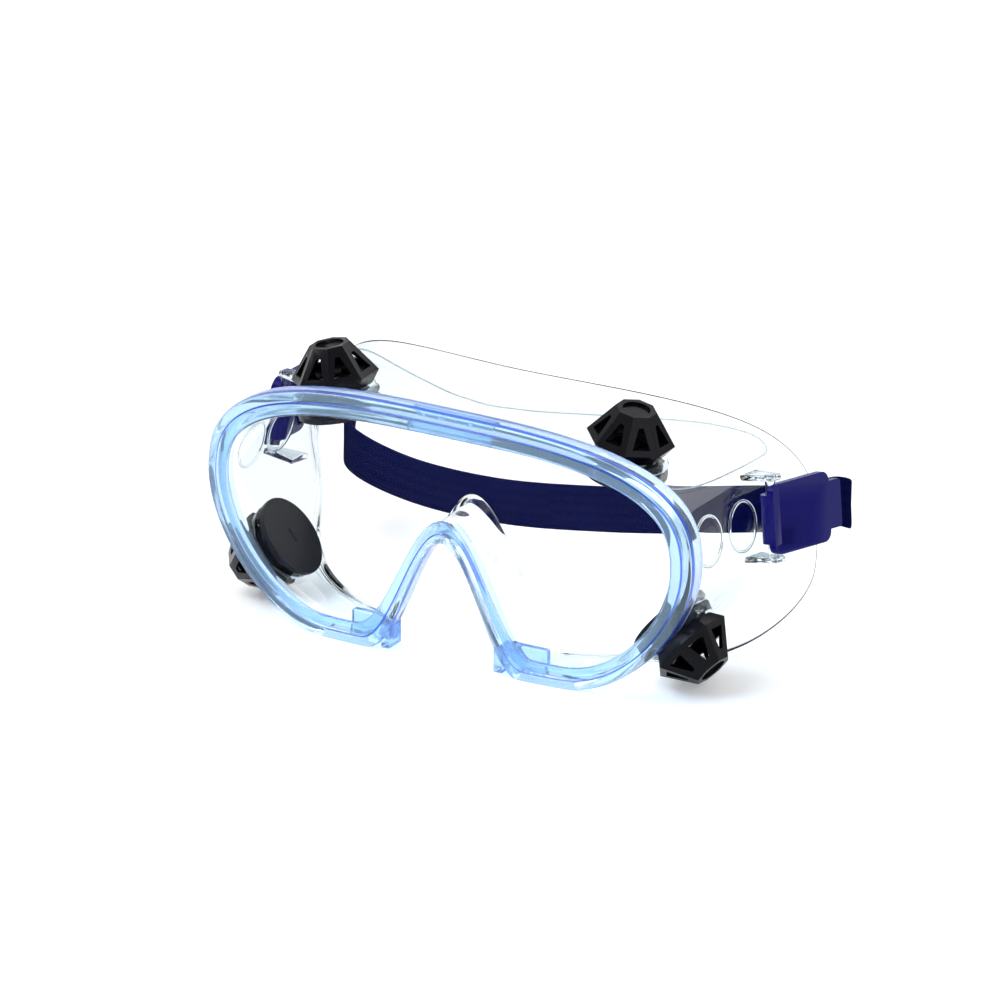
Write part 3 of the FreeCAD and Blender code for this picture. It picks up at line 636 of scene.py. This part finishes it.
pad = {
    "radius": 11.4, "taper": 1.0, "thickness": 3.2, "sides": 64, "ease": 0.3,
    "hole": 7.6, "drill": 20.0,
}
holes, pads = [], []
for seat in ventSeats.values():
    holes += bothSides(placed(disc(pad["hole"], pad["drill"], -0.5 * pad["drill"]), seat))
    boss = disc(pad["radius"] + pad["taper"], pad["thickness"], -pad["thickness"], pad["sides"],
                pad["radius"])
    pads += bothSides(placed(boss, seat))
combine(moulding, holes, "DIFFERENCE", keep=True)
for piece, hole in zip(pads, holes):
    combine(piece, [hole], "DIFFERENCE")
    eased(piece, pad["ease"])
print("vent seats bored")

lug = {
    "bar": 1.6, "barSides": 32, "span": 22.6, "arm": 1.8, "root": 8.8, "nose": 2.2,
    "front": 3.0, "rear": 7.0, "taper": 1.2, "ease": 0.5,
}


def makeLug():
    parts = []
    for sign in (1, -1):
        middle = sign * 0.5 * (lug["span"] + lug["arm"])
        arm = block((-lug["root"], -lug["front"], middle - 0.5 * lug["arm"]),
                    (lug["nose"], lug["rear"], middle + 0.5 * lug["arm"]))
        for vertex in arm.data.vertices:      # the arm narrows towards the bar
            if vertex.co.x > 0:
                vertex.co.y = (lug["front"] if vertex.co.y > 0 else -lug["bar"] * lug["taper"]) * mm
        parts.append(eased(arm, lug["ease"], 3))
    length = lug["span"] + lug["arm"]
    bar = disc(lug["bar"], length, -0.5 * length, lug["barSides"])
    bpy.ops.object.shade_smooth_by_angle(angle=math.radians(35))
    parts.append(bar)
    select(*parts)
    bpy.ops.object.join()
    return placed(bpy.context.object, lugPlace)


lugs = bothSides(makeLug())

ringMark = {
    "radius": 7.5, "wire": 0.45, "lean": 81.0,
    "places": ((77.9, 22.4, 47.1), (78.9, 41.0, 45.5)),
}
rings = []
for place in ringMark["places"]:
    deselectAll()
    bpy.ops.mesh.primitive_torus_add(major_segments=64, minor_segments=10,
                                     major_radius=ringMark["radius"] * mm,
                                     minor_radius=ringMark["wire"] * mm)
    bpy.ops.object.shade_smooth()
    turned = placeAt(*place, turnAbout("Y", ringMark["lean"]))
    rings += bothSides(placed(bpy.context.object, turned))

pocket = {
    "front": 14.5, "back": 10.0, "length": 9.0, "height": 3.6, "sink": 1.0, "level": 69.2,
    "ease": 0.6,
}
pegs = {"x": 5.2, "y": 3.2, "radius": 0.9, "height": 1.2, "sides": 24, "ease": 0.25}
keeper = {"x": 17.6, "z": 1.0, "width": 3.0, "height": 7.6, "margin": 0.6, "ease": 0.4}
footBlock = {
    "x": 20.2, "z": 2.0, "width": 13.0, "height": 7.2, "front": 5.3, "depth": 2.8, "ease": 0.7,
}
rimDepth = 8.4


def makePocket():
    start = rimDepth - pocket["sink"]
    lid = block((-pocket["front"], 0, 0), (pocket["front"], pocket["length"], pocket["height"]))
    for vertex in lid.data.vertices:
        if vertex.co.y > 0:
            vertex.co.x *= pocket["back"] / pocket["front"]
    eased(lid, pocket["ease"], 3)
    return placed(lid, Matrix.Translation(atFront(0, start, pocket["level"])))


def makePeg():
    peg = disc(pegs["radius"], 0.5 * pocket["height"] + pegs["height"], 0, pegs["sides"])
    eased(peg, pegs["ease"])
    spot = atFront(pegs["x"], rimDepth + pegs["y"], pocket["level"] + 0.5 * pocket["height"])
    return placed(peg, Matrix.Translation(spot))


def makeKeeper():
    tab = block((0, 0, 0), (keeper["width"], rimDepth - 2 * keeper["margin"], keeper["height"]))
    eased(tab, keeper["ease"])
    return placed(tab, Matrix.Translation(atFront(keeper["x"], keeper["margin"], keeper["z"])))


def makeFootBlock():
    size = footBlock
    foot = block((0, 0, 0), (size["width"], size["depth"], size["height"]))
    eased(foot, size["ease"], 3)
    return placed(foot, Matrix.Translation(atFront(size["x"], size["front"], size["z"])))


pocketPad = makePocket()
pegPair = bothSides(makePeg())
keepers = bothSides(makeKeeper()) + bothSides(makeFootBlock())
print("lugs, rings, pocket and keepers made")


# shoulder: the line moulded in the walls round the upper vents, its grey tint painted shade along
# the crease
shoulder = {
    "radius": 0.24, "sides": 8, "sink": 0.05, "steps": 260, "upwards": (0, 0.3, 1),
    # degrees up from the eye line, then the share of the way back to the face
    "line": ((90, 0.55), (76, 0.57), (62, 0.60), (44, 0.68), (34, 0.75), (27, 0.84), (22, 0.90),
             (18.5, 0.91), (15.5, 0.86), (14, 0.74), (13.6, 0.56), (14, 0.38), (15, 0.22),
             (17, 0.10), (20, 0.03)),
}
# shares of the way back and of the way out, as the moulding's wall loops have them
wallSlope = ((0.0, 0.0), (0.66, 0.22), (0.78, 0.42), (1.0, 1.0))


def outShare(back):
    for (nearBack, nearOut), (farBack, farOut) in zip(wallSlope, wallSlope[1:]):
        if back <= farBack:
            break
    return nearOut + (farOut - nearOut) * (back - nearBack) / (farBack - nearBack)


def wallPoint(degrees, back):
    # a point on the outside of the wall
    sink = shoulder["sink"]
    near = browPoint(inset(rim, wallInset["side"] + sink, wallInset["top"] + sink), degrees)
    far = browPoint(inset(seal, sink), degrees)
    x, z = (a + (b - a) * outShare(back) for a, b in zip(near, far))
    start = frontCurve(near[0]) + rimDepth
    return atFront(x, start + (faceDepth(far[0], far[1]) - start) * back, z)


def makeShoulder():
    half = [wallPoint(*step) for step in shoulder["line"]]
    whole = [mirrored(point) for point in reversed(half[1:])] + half
    path = smoothLine(whole, shoulder["steps"])

    def placeOf(column, row):
        ahead = (path[min(column + 1, len(path) - 1)] - path[max(column - 1, 0)]).normalized()
        side = ahead.cross(Vector(shoulder["upwards"])).normalized()
        angle = 2 * math.pi * row / shoulder["sides"]
        around = side * math.cos(angle) + ahead.cross(side) * math.sin(angle)
        return path[column] + around * shoulder["radius"] * mm

    piece = gridPiece(shoulder["steps"], shoulder["sides"], placeOf)
    fillEnds(piece)
    return piece


# lens: a gently curved plate cut to the outline of the groove
lensSize = {
    "inset": 3.5, "noseGap": 1.0, "depth": 2.9, "thickness": 2.0, "columns": 48,
    "stencil": (-20.0, 30.0), "overhang": 3.0, "below": 5.0, "above": 10.0,
}


def makeLens():
    size = lensSize
    edge = inset(rim, size["inset"], nose=size["inset"] + size["noseGap"])
    loop = wholeLoop(halfOutline(edge))
    count = len(loop)

    def stencilPlace(column, row):
        x, z, _ = loop[column % count]
        return atFront(x, size["stencil"][row], z)

    def platePlace(column, row):
        x = (2.0 * column / size["columns"] - 1.0) * (rim["half"] + size["overhang"])
        return atFront(x, frontCurve(x) + size["depth"] + row * size["thickness"], -size["below"])

    stencil = gridPiece(count, 1, stencilPlace)
    fillEnds(stencil)
    plate = gridPiece(size["columns"], 1, platePlace)
    select(plate)
    bpy.ops.object.mode_set(mode="EDIT")
    bpy.ops.mesh.select_all(action="SELECT")
    rise = (0, 0, (rim["top"] + size["above"]) * mm)
    bpy.ops.mesh.extrude_region_move(TRANSFORM_OT_translate={"value": rise})
    bpy.ops.object.mode_set(mode="OBJECT")
    outwards(plate)
    combine(plate, [stencil], "INTERSECT")
    bpy.ops.object.shade_smooth_by_angle(angle=math.radians(30))
    return plate


shoulderLine = makeShoulder()
lens = makeLens()
print("lens made")


# vent caps: eight flats, a wide rim, a windowed crown and a recessed top
cap = {
    "foot": 0.25, "skirt": 9.8, "rimLevel": 4.2, "rim": 12.3, "top": 13.8, "crown": 5.7,
    "shell": 1.6, "below": 1.0, "skirtSlack": 0.6, "crownSlack": 0.2,
    "recess": 0.9, "lip": 1.5, "recessSides": 40, "ease": 0.3,
    "window": {"sill": 5.8, "head": 11.2, "foot": 2.7, "peak": 0.7, "reach": (4.0, 16.0)},
}
halfFlat = math.radians(22.5)
toCorner = 1.0 / math.cos(halfFlat)      # from a flat's distance to a corner's


def eightSided(levels):
    # a disc with eight sides, extruded upwards through (height, distance to the flats)
    deselectAll()
    start, wide = levels[0]
    bpy.ops.mesh.primitive_circle_add(vertices=8, radius=wide * toCorner * mm, fill_type="NGON",
                                      location=(0, 0, start * mm), rotation=(0, 0, halfFlat))
    piece = bpy.context.object
    bpy.ops.object.transform_apply(location=True, rotation=True, scale=True)
    bpy.ops.object.mode_set(mode="EDIT")
    bpy.ops.mesh.select_all(action="SELECT")
    for (low, near), (high, far) in zip(levels, levels[1:]):
        rise = (0, 0, (high - low) * mm)
        bpy.ops.mesh.extrude_region_move(TRANSFORM_OT_translate={"value": rise})
        bpy.ops.transform.resize(value=(far / near, far / near, 1),
                                 center_override=(0, 0, high * mm))
    bpy.ops.object.mode_set(mode="OBJECT")
    outwards(piece)
    return piece


def capWindow(angle):
    # a peg that narrows upwards, through one flat of the crown
    size = cap["window"]
    peg = block((0, 0, 0), (1, 1, 1))
    for vertex in peg.data.vertices:
        far, side, high = (round(value / mm) for value in vertex.co)
        half, level = (size["peak"], size["head"]) if high else (size["foot"], size["sill"])
        vertex.co = Vector((size["reach"][far], half if side else -half, level)) * mm
    peg.data.transform(turnAbout("Z", angle))
    outwards(peg)
    return peg


def makeCap():
    outer = eightSided([(cap["foot"], cap["skirt"]), (cap["rimLevel"], cap["rim"]),
                        (cap["top"], cap["crown"])])
    inside = cap["top"] - cap["shell"] - cap["recess"]
    mouth = cap["skirt"] - cap["shell"] - cap["skirtSlack"]
    inner = eightSided([(cap["foot"] - cap["below"], mouth),
                        (cap["rimLevel"], cap["rim"] - cap["shell"]),
                        (inside, cap["crown"] - cap["crownSlack"])])
    recess = disc(cap["crown"] - cap["lip"], 2 * cap["recess"], cap["top"] - cap["recess"],
                  cap["recessSides"])
    windows = [capWindow(45.0 * number) for number in range(8)]
    combine(outer, [inner, recess] + windows, "DIFFERENCE")
    return eased(outer, cap["ease"], angle=25)


vents = []
for level, seat in ventSeats.items():
    for piece, side in zip(bothSides(placed(makeCap(), seat)), ("left", "right")):
        node = f"vent_cap_{level}_{side}"
        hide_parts(node)
        vents.append((piece, "cap", node))
innerEase = {"grommet": 0.15, "shield": 0.3}
for corner in (f"{level}_{side}" for level in ventSeats for side in ("left", "right")):
    for kind, width in innerEase.items():
        node = f"vent_{kind}_{corner}"
        piece = softCopy(node, width)
        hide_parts(node)
        vents.append((piece, kind, node))
print("vents made")


# clips: a barrel on the lug's bar, a rounded slab and the narrower end bar
clip = {
    "barrel": 3.1, "barrelSides": 48, "bore": 1.72, "boreSides": 32, "height": 21.0,
    "inner": 0.7, "outer": 3.1, "end": 24.6, "corner": 3.2,
    "loopStart": 20.6, "loopEnd": 30.7, "loopHeight": 14.4, "loopInner": 0.5, "loopOuter": 2.7,
    "loopCorner": 1.2, "yaw": 6.0, "ease": 0.55,
}


def roundedBlock(low, high, corner):
    # a block whose four edges that run outwards are rounded
    piece = block(low, high)
    select(piece)
    bpy.ops.object.mode_set(mode="EDIT")
    bpy.ops.mesh.select_mode(type="EDGE")
    bpy.ops.mesh.select_all(action="DESELECT")
    bpy.ops.object.mode_set(mode="OBJECT")
    corners = piece.data.vertices
    for edge in piece.data.edges:
        first, last = (corners[index].co for index in edge.vertices)
        edge.select = abs((last - first).normalized().x) > 0.9
    bpy.ops.object.mode_set(mode="EDIT")
    bpy.ops.mesh.bevel(offset=corner * mm, segments=8, affect="EDGES")
    bpy.ops.object.mode_set(mode="OBJECT")
    return piece


def makeClip():
    half = 0.5 * clip["height"]
    loopHalf = 0.5 * clip["loopHeight"]
    slab = roundedBlock((clip["inner"], -clip["barrel"], -half), (clip["outer"], clip["end"], half),
                        clip["corner"])
    loop = roundedBlock((clip["loopInner"], clip["loopStart"], -loopHalf),
                        (clip["loopOuter"], clip["loopEnd"], loopHalf), clip["loopCorner"])
    barrel = disc(clip["barrel"], clip["height"] - 2 * clip["corner"], clip["corner"] - half,
                  clip["barrelSides"])
    combine(slab, [loop, barrel], "UNION")
    bore = disc(clip["bore"], 2 * clip["height"], -clip["height"], clip["boreSides"])
    combine(slab, [bore], "DIFFERENCE")
    eased(slab, clip["ease"], 3, 40, smooth=13, broad=False)
    return placed(slab, lugPlace @ turnAbout("Z", -clip["yaw"]))


clips = []
for piece, side in zip(bothSides(makeClip()), ("left", "right")):
    node = "strap_clip_" + side
    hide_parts(node)
    clips.append((piece, node, side))
print("clips made")


# headband: woven elastic, one piece for each half, from under its clip to the middle
band = {
    "width": 14.5, "thickness": 1.3, "sectionPoints": 16, "selvedge": (0.35, 0.6),
    "columns": 120, "finePoints": 400, "everyFine": 6,
    "clipEnd": 30.9, "clipInner": -0.25, "gap": 0.3, "lap": 15.0, "reach": 5.4,
    "turn": 2.2, "sag": 1.4, "turnSag": 2.38,
    "crestInset": 1.2, "crestDepth": 5.0, "crestDrop": 2.4,
    "fallInset": 6.4, "fallDepth": 0.5, "fallDrop": 3.4,
    "back": 66.0, "knee": 72.0, "kneeDepth": 4.0, "kneePower": 4,
    "uprightFrom": 0.28, "uprightOver": 0.12,      # shares of the length where it turns upright
    "span": ((1.0, 39.5), (0.69, 35.5), (0.22, 29.6), (-0.25, 25.4), (-0.69, 25.8), (-1.0, 31.0)),
}


def clipPoint(side, x, y, z):
    # a point given in the clip's own axes, on the wearer's left (1) or right (-1)
    spot = lugPlace @ turnAbout("Z", -clip["yaw"]) @ (Vector((x, y, z)) * mm)
    return spot if side > 0 else mirrored(spot)


def bandLine(side):
    # centre line from under the clip, over the seal's edge and round to the middle
    inner = band["clipInner"]
    tuck = band["clipEnd"] - band["lap"]
    reach = band["clipEnd"] + band["reach"] + band["gap"]
    tip = clipPoint(side, inner, reach, -band["sag"])
    away = clipPoint(side, inner, reach + band["turn"], -band["turnSag"])
    edge = seal["half"] * mm
    crest = Vector((side * (edge - band["crestInset"] * mm), tip.y + band["crestDepth"] * mm,
                    tip.z - band["crestDrop"] * mm))
    fall = Vector((side * (edge - band["fallInset"] * mm), tip.y - band["fallDepth"] * mm,
                   tip.z - band["fallDrop"] * mm))
    leg = [clipPoint(side, inner, along, 0)
           for along in (tuck, 0.5 * (tuck + band["clipEnd"]), band["clipEnd"])]
    leg += [tip, away, crest, fall]
    span = []
    for share, z in band["span"]:
        depth = band["back"] + abs(share) ** band["kneePower"] * band["kneeDepth"]
        span.append(atFront(share * band["knee"], depth, z))
    if side < 0:
        span.reverse()
    return leg + span


def bandSection():
    # outline of the webbing across its width, thin with rounded selvedges
    points, count = [], band["sectionPoints"]
    wide, thick = band["selvedge"]
    for number in range(count):
        angle = 2 * math.pi * number / count
        x, y = math.cos(angle), math.sin(angle)
        points.append((0.5 * band["width"] * math.copysign(abs(x) ** wide, x),
                       0.5 * band["thickness"] * math.copysign(abs(y) ** thick, y)))
    return points


def makeBand(side):
    whole = smoothLine(bandLine(side), band["finePoints"])
    centre = min(range(len(whole)), key=lambda index: abs(whole[index].x))
    path = smoothLine(whole[:centre + 1:band["everyFine"]] + [whole[centre]], band["columns"])
    section = bandSection()
    lean = (clipPoint(side, 0, 0, 1) - clipPoint(side, 0, 0, 0)).normalized()

    def placeOf(column, row):
        here = path[column]
        ahead = (path[min(column + 1, len(path) - 1)] - path[max(column - 1, 0)]).normalized()
        blend = (column / band["columns"] - band["uprightFrom"]) / band["uprightOver"]
        wide = lean.lerp(Vector((0, 0, 1)), max(0.0, min(1.0, blend)))
        wide = (wide - ahead * wide.dot(ahead)).normalized()
        thick = ahead.cross(wide)
        a, b = section[row % len(section)]
        return here + wide * a * mm + thick * b * mm

    piece = gridPiece(band["columns"], len(section), placeOf)
    fillEnds(piece)
    bpy.ops.object.shade_smooth_by_angle(angle=math.radians(50))
    return piece


bands = {side: makeBand(sign) for side, sign in (("left", 1), ("right", -1))}
print("headband made")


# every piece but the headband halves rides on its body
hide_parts("frame_body")
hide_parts("lens")
settle(moulding, "moulding", "frame")
# the shoulder line gets painted crease shade
paint(shoulderLine, shoulderShade)
settle(shoulderLine, "shoulderLine", "frame")
clearSets = {
    "ventPad": (pads, clearPad), "strapLug": (lugs, clearWall), "ringMark": (rings, clearWall),
    "pocketPeg": (pegPair, clearWall), "lensKeeper": (keepers, clearRim),
}
for title, (pieces, surfaceMaterial) in clearSets.items():
    for number, piece in enumerate(pieces):
        paint(piece, surfaceMaterial)
        settle(piece, f"{title}_{number}", "frame")
paint(pocketPad, clearRim)
settle(pocketPad, "topPocket", "frame")
paint(lens, clearLens)
settle(lens, "lensPlate", "frame")
for piece, kind, node in vents:
    paint(piece, ventBlack if kind == "cap" else innerBlack)
    settle(piece, node + "_shell", "frame")
for piece, node, side in clips:
    paint(piece, clipNavy)
    settle(piece, node + "_shell", "clip_" + side)
for side, piece in bands.items():
    named(piece, "headband_" + side)
    paint(piece, navyWebbing)
    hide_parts("headband", "band_end_" + side)
    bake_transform(piece)
print("pieces placed on their bodies")


# floor, lights and world
studio = {
    "floorSize": 2.4, "floorColour": (0.93, 0.935, 0.94, 1), "floorRoughness": 0.9,
    "floorGloss": 0.1, "floorGlow": 0.17,
    "reflected": 0.4, "skyForObject": 0.45, "skyForViews": 1.0,
}


def whiteForViews(nodes, links):
    # 1 where the camera or the clear plastic looks, part of it in reflections
    path = nodes.new("ShaderNodeLightPath")
    shine = addNode(nodes, "ShaderNodeMath", operation="MULTIPLY")
    shine.inputs[1].default_value = studio["reflected"]
    links.new(path.outputs["Is Glossy Ray"], shine.inputs[0])
    first = addNode(nodes, "ShaderNodeMath", operation="MAXIMUM")
    links.new(path.outputs["Is Camera Ray"], first.inputs[0])
    links.new(shine.outputs[0], first.inputs[1])
    second = addNode(nodes, "ShaderNodeMath", operation="MAXIMUM")
    links.new(first.outputs[0], second.inputs[0])
    links.new(path.outputs["Is Transmission Ray"], second.inputs[1])
    return second.outputs[0]


def makeFloor():
    deselectAll()
    bpy.ops.mesh.primitive_plane_add(size=studio["floorSize"], location=(0, 0, 0))
    floor = bpy.context.object
    floor.name = "floor"
    material, nodes, links, shader = newMaterial("paleFloor")
    shader.inputs["Base Color"].default_value = studio["floorColour"]
    shader.inputs["Roughness"].default_value = studio["floorRoughness"]
    shader.inputs["Specular IOR Level"].default_value = studio["floorGloss"]
    glow = addNode(nodes, "ShaderNodeEmission", Color=(1, 1, 1, 1))
    lift = addNode(nodes, "ShaderNodeMath", operation="MULTIPLY")
    lift.inputs[1].default_value = studio["floorGlow"]
    links.new(whiteForViews(nodes, links), lift.inputs[0])
    links.new(lift.outputs[0], glow.inputs["Strength"])
    both = nodes.new("ShaderNodeAddShader")
    links.new(shader.outputs["BSDF"], both.inputs[0])
    links.new(glow.outputs["Emission"], both.inputs[1])
    links.new(both.outputs["Shader"], nodes["Material Output"].inputs["Surface"])
    paint(floor, material)


lamps = {
    "key": {"at": (-0.7, -0.5, 1.3), "size": 1.0, "power": 16.0},
    "fill": {"at": (1.1, -0.9, 0.9), "size": 1.2, "power": 7.0},
    "back": {"at": (0.2, 1.2, 1.0), "size": 1.2, "power": 7.0},
}


def addLamp(name, lamp):
    bpy.ops.object.light_add(type="AREA", location=lamp["at"])
    light = bpy.context.object
    light.name = name
    light.data.size = lamp["size"]
    light.data.energy = lamp["power"]
    light.rotation_euler = Vector(lamp["at"]).to_track_quat("Z", "Y").to_euler()


def setWorld():
    world = bpy.data.worlds.new("softSky")
    bpy.context.scene.world = world
    world.use_nodes = True
    nodes, links = world.node_tree.nodes, world.node_tree.links
    back = nodes["Background"]
    span = nodes.new("ShaderNodeMapRange")
    span.inputs["To Min"].default_value = studio["skyForObject"]
    span.inputs["To Max"].default_value = studio["skyForViews"]
    links.new(whiteForViews(nodes, links), span.inputs["Value"])
    back.inputs["Color"].default_value = (1, 1, 1, 1)
    links.new(span.outputs["Result"], back.inputs["Strength"])


makeFloor()
for name, lamp in lamps.items():
    addLamp(name, lamp)
setWorld()
bpy.context.scene.view_settings.view_transform = "Standard"
print("floor, lamps and world set")
